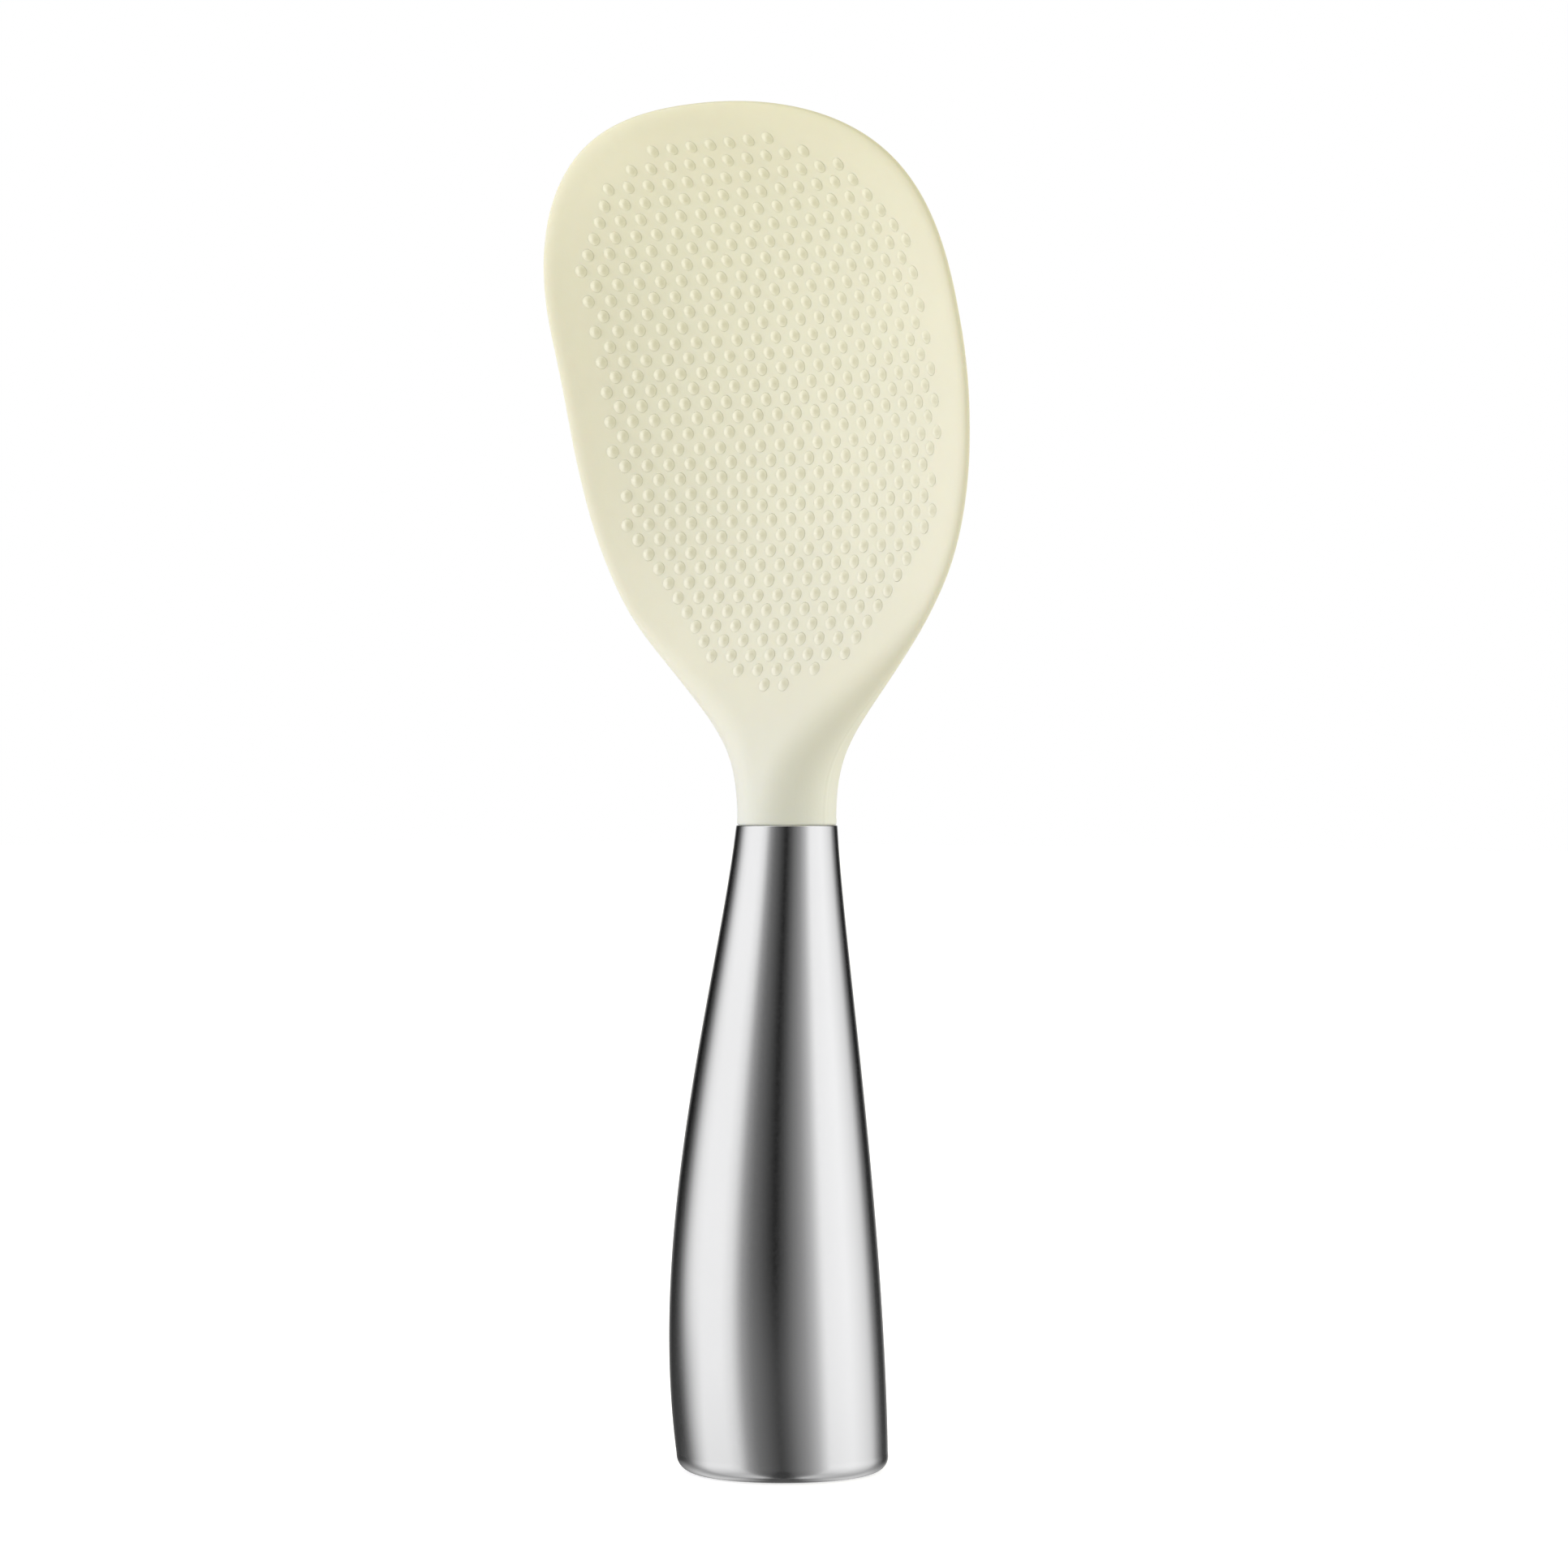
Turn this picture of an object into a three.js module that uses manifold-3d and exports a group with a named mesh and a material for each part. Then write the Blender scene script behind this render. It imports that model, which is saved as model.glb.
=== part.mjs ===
// A serving paddle for rice. A dished silicone head is moulded over a stiff core, and the core's tang
// snaps into a bush in the mouth of a hollow steel handle, which flares to a flat foot so that the
// paddle stands upright. The handle is two stamped halves and a drawn foot cap, welded and polished.
// Lengths are millimetres. +Z is up, the dished face looks along -Y, the paddle is symmetric about
// X = 0, and the origin is the centre of the face that it stands on.

import * as THREE from 'three';
import { mergeVertices } from 'three/addons/utils/BufferGeometryUtils.js';
import Module from 'manifold-3d';

const wasm = await Module();
wasm.setup();

// Handle, heights from the standing face
const HANDLE_HEIGHT = 103;        // standing face to the mouth
const STEEL_WALL = 0.8;
const MOUTH_RADIUS = 8.1;
const MOUTH_PULL_RADIUS = 9.9;    // curve handle that sets the taper under the mouth
const MOUTH_PULL_DROP = 22;
const BELLY_PULL_RADIUS = 19;     // curve handle that swells the lower half
const BELLY_PULL_HEIGHT = 40.7;
const SEAM_RADIUS = 16.9;         // where the halves meet the foot cap
const FOOT_CORNER = 2.5;          // corner radius between foot and wall
const CAP_LAND = 0.5;             // straight wall between the corner and the seam
const AXIS_LOWER_PULL = 4.3;      // forward pull on the bowed axis at a third of its height
const AXIS_UPPER_PULL = 0.9;      // the same at two thirds
const MOUTH_SETBACK = 0.8;        // the mouth's centre lies this far behind the foot's
const CAP_LIP = 4;                // the cap's inner lip above the seam

// Bush in the mouth, and the barb on the tang that it holds
const BUSH_LENGTH = 20;
const BUSH_WALL = 1.8;            // wall round the tang, at the mouth
const BARB_REACH = 1.4;           // the barb stands this far out from the tang
const BARB_LENGTH = 5;
const BARB_TIP_RADIUS = 3.2;
const SLIP_GAP = 0.3;             // clearance round pieces that seat in each other

// Head outline, heights from the mouth
const HEAD_LENGTH = 112.8;
const HEAD_WIDTH = 84.6;
const WIDEST_HEIGHT = 80.4;
const NECK_STEP = 0.2;            // the neck stands in from the mouth by this much
const NECK_STRAIGHT = 12.8;
const FLARE_HEIGHT = 29.2;        // the outline is steepest here
const FLARE_HALF_WIDTH = 27.4;
const FLARE_ANGLE = 43.6;         // degrees from the paddle's axis
const FLARE_PULL = 19.7;
const SHOULDER_PULL = 16.9;
const SIDE_PULL = 23.5;
const CROWN_SIDE_PULL = 24.8;
const CROWN_TOP_PULL = 25.9;

// Dish of the head
const DISH_HEIGHT = 52.9;         // height of the dish's deepest point
const DISH_SETBACK = 1;           // and how far behind the neck's axis it lies
const TIP_RISE = 24.9;            // the tip stands this far forward of the deepest point
const DISH_PULL = 30.1;
const NECK_FRONT_PULL = 17.3;
const CROSS_RADIUS = 122;         // the dish's curve from side to side
const CROSS_FULL_HEIGHT = 63;     // the cross curve grows from the neck up to here
const CROSS_FADE_HEIGHT = 77.6;   // and fades from here to the tip
const CROSS_GROW_POWER = 1.5;     // how sharply it grows
const CROSS_FADE_POWER = 2;       // and how sharply it fades
const RIDGE_RUN = 52;             // the round neck runs out along the back over this length
const RIM_THICKNESS = 2;
const RIM_ROUND = 2.4;
const RIM_RUN = 36.5;             // the neck's round section becomes the thin rim over this length

// Raised dots that keep rice from sticking to the face, heights from the mouth
const DOT_PITCH = 4;              // along a row; rows are staggered by half of it
const DOT_ROW_PITCH = 2.414;
const DOT_FIRST_ROW = 22.4;
const DOT_FOOT_HEIGHT = 21.5;     // the field's pointed foot starts here on the middle line
const DOT_FOOT_SLOPE = 0.4;       // and rises by this much for each millimetre to the side
const DOT_MARGIN = 6.75;          // dots stay this far from the rim
const DOT_RADIUS = 0.85;
const DOT_HEIGHT = 0.45;
const DOT_ROOT = 0.4;             // depth to which a dot is sunk in the face

// Stiff core inside the silicone
const CORE_THICKNESS = 2;         // on the blade's middle line
const BLADE_SKIN = 1.1;           // silicone over the core in the blade
const CORE_MARGIN = 12;           // core's edge to the rim
const KEY_HOLE_RADIUS = 3;
const KEY_HOLE_PITCH = 17;
const KEY_HOLE_HEIGHT = 62;       // height of the middle row of key holes

// Facets, and how near two points count as one
const MERGE_DISTANCE = 1e-4;
const ROUND_STEPS = 36;
const TAPER_STEPS = 12;
const CORNER_STEPS = 4;
const QUARTER_STEPS = 8;
const CORE_QUARTER_STEPS = 4;
const FLARE_STEPS = 7;
const SHOULDER_STEPS = 6;
const CROWN_STEPS = 8;
const HOLE_STEPS = 12;
const MIDDLE_LINE_STEPS = 400;
const DOT_SIDES = 5;
const RIM_FINENESS = 6;           // the rim's points are this much closer where dots are set out from it

const silicone = new THREE.MeshStandardMaterial({ color: '#e6e4cd', roughness: 0.55, metalness: 0 });
const nylon = new THREE.MeshStandardMaterial({ color: '#d9d6cc', roughness: 0.5, metalness: 0 });
const acetal = new THREE.MeshStandardMaterial({ color: '#55585a', roughness: 0.5, metalness: 0 });
const steel = new THREE.MeshStandardMaterial({ color: '#c3c4c5', roughness: 0.28, metalness: 1 });

const seamHeight = FOOT_CORNER + CAP_LAND;
const neckRadius = MOUTH_RADIUS - NECK_STEP;
const tangRadius = MOUTH_RADIUS - STEEL_WALL - BUSH_WALL - 2 * SLIP_GAP;
const neckSkin = neckRadius - tangRadius;
const bladeThickness = CORE_THICKNESS + 2 * BLADE_SKIN;
const dishRadius = arcRadius(HEAD_LENGTH - DISH_HEIGHT, TIP_RISE);

// Radius of an arc that starts level and rises by rise over the given run.
function arcRadius(run, rise) {
  return (run * run + rise * rise) / (2 * rise);
}

// Place, at a height, of a rising line of (place, height) points, on the straight stretches between them.
function placeAt(line, height) {
  const next = Math.max(1, line.findIndex((p) => p.y >= height));
  const [low, high] = [line[next - 1], line[next]];
  return THREE.MathUtils.mapLinear(height, low.y, high.y, low.x, high.x);
}

// 1 at the mouth, falling smoothly to 0 at the end of the run.
function fall(height, run) {
  return 1 - THREE.MathUtils.smoothstep(height, 0, run);
}

// Merged, closed geometry with its faces outwards, from loose triangles.
function closed(geometry) {
  geometry.deleteAttribute('normal');
  geometry.deleteAttribute('uv');
  const merged = mergeVertices(geometry, MERGE_DISTANCE);
  const place = merged.getAttribute('position');
  const corners = [];
  const a = new THREE.Vector3();
  const b = new THREE.Vector3();
  const c = new THREE.Vector3();
  let volume = 0;
  for (let i = 0; i < merged.index.count; i += 3) {
    const [p, q, r] = [0, 1, 2].map((k) => merged.index.getX(i + k));
    if (p === q || q === r || r === p) continue;
    corners.push([p, q, r]);
    a.fromBufferAttribute(place, p);
    b.fromBufferAttribute(place, q);
    c.fromBufferAttribute(place, r);
    volume += a.dot(b.cross(c));
  }
  merged.setIndex(corners.flatMap(([p, q, r]) => (volume > 0 ? [p, q, r] : [p, r, q])));
  return merged;
}

function solid(geometry) {
  const mesh = closed(geometry);
  return new wasm.Manifold(new wasm.Mesh({
    numProp: 3,
    vertProperties: new Float32Array(mesh.getAttribute('position').array),
    triVerts: new Uint32Array(mesh.index.array),
  }));
}

function geometryOf(body) {
  const mesh = body.getMesh();
  const geometry = new THREE.BufferGeometry();
  geometry.setAttribute('position', new THREE.BufferAttribute(new Float32Array(mesh.vertProperties), 3));
  geometry.setIndex(new THREE.BufferAttribute(new Uint32Array(mesh.triVerts), 1));
  return geometry;
}

function piece(name, geometry, material) {
  const mesh = new THREE.Mesh(geometry, material);
  mesh.name = name;
  mesh.geometry.computeVertexNormals();
  return mesh;
}

// Handle

// How far forward of the foot's centre the handle's bowed axis lies.
function bow(height) {
  const t = height / HANDLE_HEIGHT;
  const s = 1 - t;
  return 3 * s * s * t * AXIS_LOWER_PULL + 3 * s * t * t * AXIS_UPPER_PULL - t * t * t * MOUTH_SETBACK;
}

// The handle's outside as (radius, height) points, from the seam up to the mouth.
const handleSide = new THREE.CubicBezierCurve(
  new THREE.Vector2(SEAM_RADIUS, seamHeight),
  new THREE.Vector2(BELLY_PULL_RADIUS, BELLY_PULL_HEIGHT),
  new THREE.Vector2(MOUTH_PULL_RADIUS, HANDLE_HEIGHT - MOUTH_PULL_DROP),
  new THREE.Vector2(MOUTH_RADIUS, HANDLE_HEIGHT),
).getPoints(TAPER_STEPS);

const inward = (points, inset) => points.map((p) => new THREE.Vector2(p.x - inset, p.y));

// A turned profile of (radius, height) points, set upright with its axis along the handle's bow.
function bowedTurning(profile, start = 0, length = 2 * Math.PI) {
  const steps = Math.round((ROUND_STEPS * length) / (2 * Math.PI));
  const geometry = new THREE.LatheGeometry(profile, steps, start, length);
  const place = geometry.getAttribute('position');
  for (let i = 0; i < place.count; i += 1) {
    const height = place.getY(i);
    place.setXYZ(i, place.getX(i), -place.getZ(i) - bow(height), height);
  }
  return geometry;
}

// One stamped half of the hollow handle: half a turning, closed by its two flat meeting faces.
function handleHalf(side) {
  const wall = [...handleSide, ...inward(handleSide, STEEL_WALL).reverse()];
  const shell = bowedTurning([...wall, wall[0]], side > 0 ? 0 : Math.PI, Math.PI).toNonIndexed();
  const corners = Array.from(shell.getAttribute('position').array);
  for (const [p, q, r] of THREE.ShapeUtils.triangulateShape(wall, [])) {
    for (const facing of [-1, 1]) {
      const order = facing * side < 0 ? [p, q, r] : [p, r, q];
      for (const k of order) {
        corners.push(0, facing * wall[k].x - bow(wall[k].y), wall[k].y);
      }
    }
  }
  for (let i = 0; i < corners.length; i += 3) {
    if (Math.abs(corners[i]) < MERGE_DISTANCE) corners[i] = 0;
  }
  const geometry = new THREE.BufferGeometry();
  geometry.setAttribute('position', new THREE.Float32BufferAttribute(corners, 3));
  return closed(geometry);
}

// Drawn cup that closes the handle: flat foot, rounded corner, and a lip that locates in the halves.
function footCap() {
  const lipTop = seamHeight + CAP_LIP;
  const lipRadius = (height) => placeAt(handleSide, height) - STEEL_WALL - SLIP_GAP;
  const profile = [new THREE.Vector2(0, 0)];
  for (let i = 0; i <= CORNER_STEPS; i += 1) {
    const turn = (i / CORNER_STEPS) * (Math.PI / 2);
    profile.push(new THREE.Vector2(
      SEAM_RADIUS - FOOT_CORNER * (1 - Math.sin(turn)),
      FOOT_CORNER * (1 - Math.cos(turn)),
    ));
  }
  profile.push(
    new THREE.Vector2(SEAM_RADIUS, seamHeight),
    new THREE.Vector2(lipRadius(seamHeight), seamHeight),
    new THREE.Vector2(lipRadius(lipTop), lipTop),
    new THREE.Vector2(lipRadius(lipTop) - STEEL_WALL, lipTop),
    new THREE.Vector2(lipRadius(seamHeight) - STEEL_WALL, FOOT_CORNER),
    new THREE.Vector2(SEAM_RADIUS - FOOT_CORNER, STEEL_WALL),
    new THREE.Vector2(0, STEEL_WALL),
  );
  return closed(bowedTurning(profile));
}

// Tapered bush that the narrowing mouth traps, bored straight for the tang.
function mouthBush() {
  const foot = HANDLE_HEIGHT - BUSH_LENGTH;
  const lowest = new THREE.Vector2(placeAt(handleSide, foot), foot);
  const outer = inward([lowest, ...handleSide.filter((p) => p.y > foot)], STEEL_WALL + SLIP_GAP);
  const profile = [new THREE.Vector2(0, foot), ...outer, new THREE.Vector2(0, HANDLE_HEIGHT)];
  const bore = new THREE.CylinderGeometry(
    tangRadius + SLIP_GAP, tangRadius + SLIP_GAP, 3 * BUSH_LENGTH, ROUND_STEPS,
  );
  bore.rotateX(Math.PI / 2);
  bore.translate(0, MOUTH_SETBACK, HANDLE_HEIGHT);
  return geometryOf(solid(bowedTurning(profile)).subtract(solid(bore)));
}

// Head, in a frame of its own: x to the side, forward towards the dished face, height from the mouth

const flareTurn = new THREE.Vector2(FLARE_HALF_WIDTH, FLARE_HEIGHT);
const flareWay = new THREE.Vector2(
  Math.sin(THREE.MathUtils.degToRad(FLARE_ANGLE)),
  Math.cos(THREE.MathUtils.degToRad(FLARE_ANGLE)),
);

// The outline's right half as (half width, height), from the mouth round to the tip. finer multiplies
// its points.
function headOutline(finer = 1) {
  const flare = new THREE.CubicBezierCurve(
    new THREE.Vector2(neckRadius, 0),
    new THREE.Vector2(neckRadius, NECK_STRAIGHT),
    flareTurn.clone().addScaledVector(flareWay, -FLARE_PULL),
    flareTurn,
  );
  const shoulder = new THREE.CubicBezierCurve(
    flareTurn,
    flareTurn.clone().addScaledVector(flareWay, SHOULDER_PULL),
    new THREE.Vector2(HEAD_WIDTH / 2, WIDEST_HEIGHT - SIDE_PULL),
    new THREE.Vector2(HEAD_WIDTH / 2, WIDEST_HEIGHT),
  );
  const crown = new THREE.CubicBezierCurve(
    new THREE.Vector2(HEAD_WIDTH / 2, WIDEST_HEIGHT),
    new THREE.Vector2(HEAD_WIDTH / 2, WIDEST_HEIGHT + CROWN_SIDE_PULL),
    new THREE.Vector2(CROWN_TOP_PULL, HEAD_LENGTH),
    new THREE.Vector2(0, HEAD_LENGTH),
  );
  return [
    ...flare.getPoints(finer * FLARE_STEPS),
    ...shoulder.getPoints(finer * SHOULDER_STEPS).slice(1),
    ...crown.getPoints(finer * CROWN_STEPS).slice(1),
  ];
}

// The face's middle line below the dish as (forward, height) points.
const neckFront = new THREE.CubicBezierCurve(
  new THREE.Vector2(neckRadius, 0),
  new THREE.Vector2(neckRadius, NECK_FRONT_PULL),
  new THREE.Vector2(-DISH_SETBACK, DISH_HEIGHT - DISH_PULL),
  new THREE.Vector2(-DISH_SETBACK, DISH_HEIGHT),
).getPoints(MIDDLE_LINE_STEPS);

// Forward place of the face on the paddle's middle line.
function middleLine(height) {
  if (height >= DISH_HEIGHT) {
    const rise = height - DISH_HEIGHT;
    return dishRadius - Math.sqrt(dishRadius * dishRadius - rise * rise) - DISH_SETBACK;
  }
  return placeAt(neckFront, height);
}

// Forward place of the face, dished from side to side.
function face(x, height) {
  const below = Math.max(0, (CROSS_FULL_HEIGHT - height) / CROSS_FULL_HEIGHT);
  const above = Math.max(0, (height - CROSS_FADE_HEIGHT) / (HEAD_LENGTH - CROSS_FADE_HEIGHT));
  const share = (1 - below ** CROSS_GROW_POWER) * (1 - above ** CROSS_FADE_POWER);
  return middleLine(height) + (share * x * x) / (2 * CROSS_RADIUS);
}

// A rib runs from the middle line out to one point of the outline. Below the widest place ribs are
// level, and above it they fan out of one point.
function ribTo(edge) {
  const root = Math.min(edge.y, WIDEST_HEIGHT);
  const neck = fall(edge.y, RIM_RUN);
  const length = Math.hypot(edge.x, edge.y - root);
  const rimHalf = THREE.MathUtils.lerp(RIM_THICKNESS / 2, neckRadius, neck);
  const rootHalf = THREE.MathUtils.lerp(bladeThickness / 2, neckRadius, fall(root, RIDGE_RUN));
  const round = Math.min(length, THREE.MathUtils.lerp(RIM_ROUND, edge.x, neck));
  return { edge, root, neck, length, rimHalf, rootHalf, round };
}

// Place of the head's middle surface, half way through its thickness, at a share u of a rib.
function along(rib, u) {
  const x = rib.edge.x * u;
  const height = THREE.MathUtils.lerp(rib.root, rib.edge.y, u);
  const half = THREE.MathUtils.lerp(rib.rootHalf, rib.rimHalf, u * u);
  return { x, height, half, forward: face(x, height) - half };
}

// Half section of the skin on a rib, from the face's middle line round the rim to the back's.
function skinSection(rib) {
  const section = [];
  for (let i = -QUARTER_STEPS; i <= QUARTER_STEPS; i += 1) {
    const turn = (Math.abs(i) / QUARTER_STEPS) * (Math.PI / 2);
    const u = i === 0 ? 1 : Math.cos(turn);
    const at = along(rib, i === -QUARTER_STEPS || i === QUARTER_STEPS ? 0 : u);
    const inRound = Math.max(0, 1 - ((1 - u) * rib.length) / rib.round);
    const drop = rib.rimHalf * (1 - Math.sqrt(Math.max(0, 1 - inRound * inRound)));
    const stand = i === 0 ? 0 : Math.sign(-i) * (at.half - drop);
    section.push(new THREE.Vector3(at.x, at.forward + stand, at.height));
  }
  return section;
}

// Half section of the core on a rib, a lens set in from the skin. grow enlarges it all round.
function coreSection(rib, grow) {
  const reach = rib.length - THREE.MathUtils.lerp(CORE_MARGIN, neckSkin, rib.neck) + grow;
  const rootSkin = THREE.MathUtils.lerp(BLADE_SKIN, neckSkin, fall(rib.root, RIM_RUN));
  const half = rib.rootHalf - rootSkin + grow;
  const section = [];
  for (let i = 0; i <= 2 * CORE_QUARTER_STEPS; i += 1) {
    const turn = (i / CORE_QUARTER_STEPS) * (Math.PI / 2);
    const ends = i === 0 || i === 2 * CORE_QUARTER_STEPS;
    const at = along(rib, ends ? 0 : (Math.sin(turn) * reach) / rib.length);
    section.push(new THREE.Vector3(at.x, at.forward + half * Math.cos(turn), at.height));
  }
  return section;
}

// Half of a round section on the neck's axis.
function roundSection(radius, height) {
  const section = [];
  for (let i = 0; i <= 2 * CORE_QUARTER_STEPS; i += 1) {
    const turn = (i / CORE_QUARTER_STEPS) * (Math.PI / 2);
    const side = i === 0 || i === 2 * CORE_QUARTER_STEPS ? 0 : radius * Math.sin(turn);
    section.push(new THREE.Vector3(side, radius * Math.cos(turn), height));
  }
  return section;
}

// Closed body from half sections in order, mirrored to both sides, with a flat end on the first one.
function loft(sections) {
  const corners = [];
  const put = (p, side) => corners.push(side * p.x, MOUTH_SETBACK - p.y, HANDLE_HEIGHT + p.z);
  const triangle = (p, q, r, side) => {
    for (const corner of side > 0 ? [p, q, r] : [p, r, q]) put(corner, side);
  };
  const count = sections[0].length;
  const middle = sections[0][0].clone().lerp(sections[0][count - 1], 0.5);
  for (const side of [-1, 1]) {
    for (let j = 0; j + 1 < count; j += 1) {
      triangle(middle, sections[0][j], sections[0][j + 1], side);
      for (let i = 0; i + 1 < sections.length; i += 1) {
        const [p, q] = [sections[i][j], sections[i][j + 1]];
        const [r, s] = [sections[i + 1][j + 1], sections[i + 1][j]];
        triangle(p, s, r, side);
        triangle(p, r, q, side);
      }
    }
  }
  const geometry = new THREE.BufferGeometry();
  geometry.setAttribute('position', new THREE.Float32BufferAttribute(corners, 3));
  return closed(geometry);
}

// Pegs through the blade at the key holes, where silicone on both faces joins through the core.
function keyPegs(radius) {
  const pegs = [];
  for (const [column, row] of [[0, -1], [-1, 0], [0, 0], [1, 0], [0, 1]]) {
    const peg = new THREE.CylinderGeometry(radius, radius, HEAD_LENGTH, HOLE_STEPS);
    peg.translate(column * KEY_HOLE_PITCH, 0, HANDLE_HEIGHT + KEY_HOLE_HEIGHT + row * KEY_HOLE_PITCH);
    pegs.push(peg);
  }
  return pegs;
}

// Seats of the raised dots on the face, on staggered rows clear of the rim and above the field's foot.
function dotSeats() {
  const outline = headOutline(RIM_FINENESS);
  const rim = outline.map((edge) => new THREE.Vector3(edge.x, face(edge.x, edge.y), edge.y));
  const seats = [];
  const rows = Math.floor((HEAD_LENGTH - DOT_FIRST_ROW) / DOT_ROW_PITCH);
  for (let row = 0; row <= rows; row += 1) {
    const height = DOT_FIRST_ROW + row * DOT_ROW_PITCH;
    const first = row % 2 ? 0 : DOT_PITCH / 2;
    for (let x = first; x < placeAt(outline, height); x += DOT_PITCH) {
      const seat = new THREE.Vector3(x, face(x, height), height);
      const clear = rim.every((edge) => edge.distanceTo(seat) >= DOT_MARGIN);
      if (clear && height >= DOT_FOOT_HEIGHT + DOT_FOOT_SLOPE * x) {
        seats.push(seat);
        if (x > 0) seats.push(new THREE.Vector3(-x, seat.y, height));
      }
    }
  }
  return seats;
}

// Direction out of the face at a seat, from the face's slopes.
function faceNormal(seat) {
  const step = DOT_RADIUS;
  const across = (face(seat.x + step, seat.z) - face(seat.x - step, seat.z)) / (2 * step);
  const upward = (face(seat.x, seat.z + step) - face(seat.x, seat.z - step)) / (2 * step);
  return new THREE.Vector3(-across, 1, -upward).normalize();
}

// One raised dot, a low cone sunk a little way into the face.
function dotAt(seat) {
  const height = DOT_HEIGHT + DOT_ROOT;
  const dot = new THREE.ConeGeometry((DOT_RADIUS * height) / DOT_HEIGHT, height, DOT_SIDES);
  const out = faceNormal(seat);
  const way = new THREE.Vector3(out.x, -out.y, out.z);
  dot.translate(0, height / 2 - DOT_ROOT, 0);
  dot.applyQuaternion(new THREE.Quaternion().setFromUnitVectors(new THREE.Vector3(0, 1, 0), way));
  dot.translate(seat.x, MOUTH_SETBACK - seat.y, HANDLE_HEIGHT + seat.z);
  return solid(dot);
}

const withoutPegs = (body, radius) => keyPegs(radius).reduce((left, peg) => left.subtract(solid(peg)), body);

const ribs = headOutline().map(ribTo);

// Stiff core: a lens in the blade, a round tang below it, and a barb that catches under the bush.
function bladeCore() {
  const shoulder = -BUSH_LENGTH - SLIP_GAP;
  const tang = [
    roundSection(BARB_TIP_RADIUS, shoulder - BARB_LENGTH),
    roundSection(tangRadius + BARB_REACH, shoulder),
    roundSection(tangRadius, shoulder),
  ];
  const core = solid(loft([...tang, ...ribs.map((rib) => coreSection(rib, 0))]));
  return geometryOf(withoutPegs(core, KEY_HOLE_RADIUS));
}

// Silicone moulded over the core, open at the neck where the tang leaves it.
function siliconeHead() {
  const skin = wasm.Manifold.union([solid(loft(ribs.map(skinSection))), ...dotSeats().map(dotAt)]);
  const way = roundSection(tangRadius + SLIP_GAP, -BUSH_LENGTH);
  const room = solid(loft([way, ...ribs.map((rib) => coreSection(rib, SLIP_GAP))]));
  return geometryOf(skin.subtract(withoutPegs(room, KEY_HOLE_RADIUS - SLIP_GAP)));
}

const paddle = new THREE.Group();
paddle.add(
  piece('silicone_head', siliconeHead(), silicone),
  piece('blade_core', bladeCore(), nylon),
  piece('mouth_bush', mouthBush(), acetal),
  piece('handle_half_left', handleHalf(-1), steel),
  piece('handle_half_right', handleHalf(1), steel),
  piece('foot_cap', footCap(), steel),
);

export default paddle;
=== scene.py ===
"""Rice paddle: a dished silicone head with raised dots on a hollow steel handle that stands on its foot.

Lengths are metres in the packed model's frame. +Z is up, the dished face looks along -Y, the paddle is
symmetric about X = 0, and the origin is the centre of the face that it stands on.
"""

import math

import bmesh
import bpy
import numpy as np
from bpy.props import FloatProperty, FloatVectorProperty, IntProperty, PointerProperty
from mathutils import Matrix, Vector


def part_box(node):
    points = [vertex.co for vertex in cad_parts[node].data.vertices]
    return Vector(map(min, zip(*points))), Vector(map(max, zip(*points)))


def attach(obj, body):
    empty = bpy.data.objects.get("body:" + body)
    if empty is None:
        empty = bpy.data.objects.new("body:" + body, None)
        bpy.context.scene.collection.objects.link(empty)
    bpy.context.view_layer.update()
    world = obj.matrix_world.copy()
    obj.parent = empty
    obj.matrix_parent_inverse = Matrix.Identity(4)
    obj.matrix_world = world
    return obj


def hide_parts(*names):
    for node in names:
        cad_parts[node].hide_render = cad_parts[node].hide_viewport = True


bl_info = {
    "name": "Rice Paddle",
    "version": (1, 0, 0),
    "blender": (4, 5, 0),
    "location": "View3D > Sidebar > Rice Paddle",
    "description": "Builds a standing rice paddle around its packed solids",
    "category": "Add Mesh",
}

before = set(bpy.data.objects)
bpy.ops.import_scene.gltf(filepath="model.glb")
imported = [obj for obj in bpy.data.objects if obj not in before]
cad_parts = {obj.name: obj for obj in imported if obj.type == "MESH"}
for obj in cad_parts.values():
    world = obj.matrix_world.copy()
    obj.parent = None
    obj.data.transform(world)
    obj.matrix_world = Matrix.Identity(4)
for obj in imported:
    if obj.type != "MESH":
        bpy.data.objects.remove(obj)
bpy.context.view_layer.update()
head_low, head_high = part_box("silicone_head")

MM = 0.001
MOUTH_HEIGHT = head_low.z
MERGE_DISTANCE = 1e-7

# How finely the smooth pieces are divided
FLARE_STEPS = 44
SHOULDER_STEPS = 30
CROWN_STEPS = 48
QUARTER_STEPS = 40
CAVITY_STRIDE = 3
MIDDLE_LINE_STEPS = 400
ROUND_STEPS = 160
TAPER_STEPS = 96
CORNER_STEPS = 16
SHARP_ANGLE = math.radians(50)
DOME_SIDES = 12
DOME_RINGS = 5

# How sharply the dish's cross curve grows from the neck, and how sharply it fades to the tip
CROSS_GROW_POWER = 1.5
CROSS_FADE_POWER = 2

# Small lip at the foot of the neck, as (height, share of the neck's radius)
NECK_LIP = ((0.0, 0.975), (0.12 * MM, 0.995), (0.35 * MM, 1.006), (0.95 * MM, 1.006), (1.25 * MM, 1.0))

# Dots start in a plane in front of the head, and are pushed back until they meet its face
DOT_PLANE_Y = -0.1
DOT_PUSH_LIMIT = 1.0
BACKWARDS = (0, 1, 0)

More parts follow.
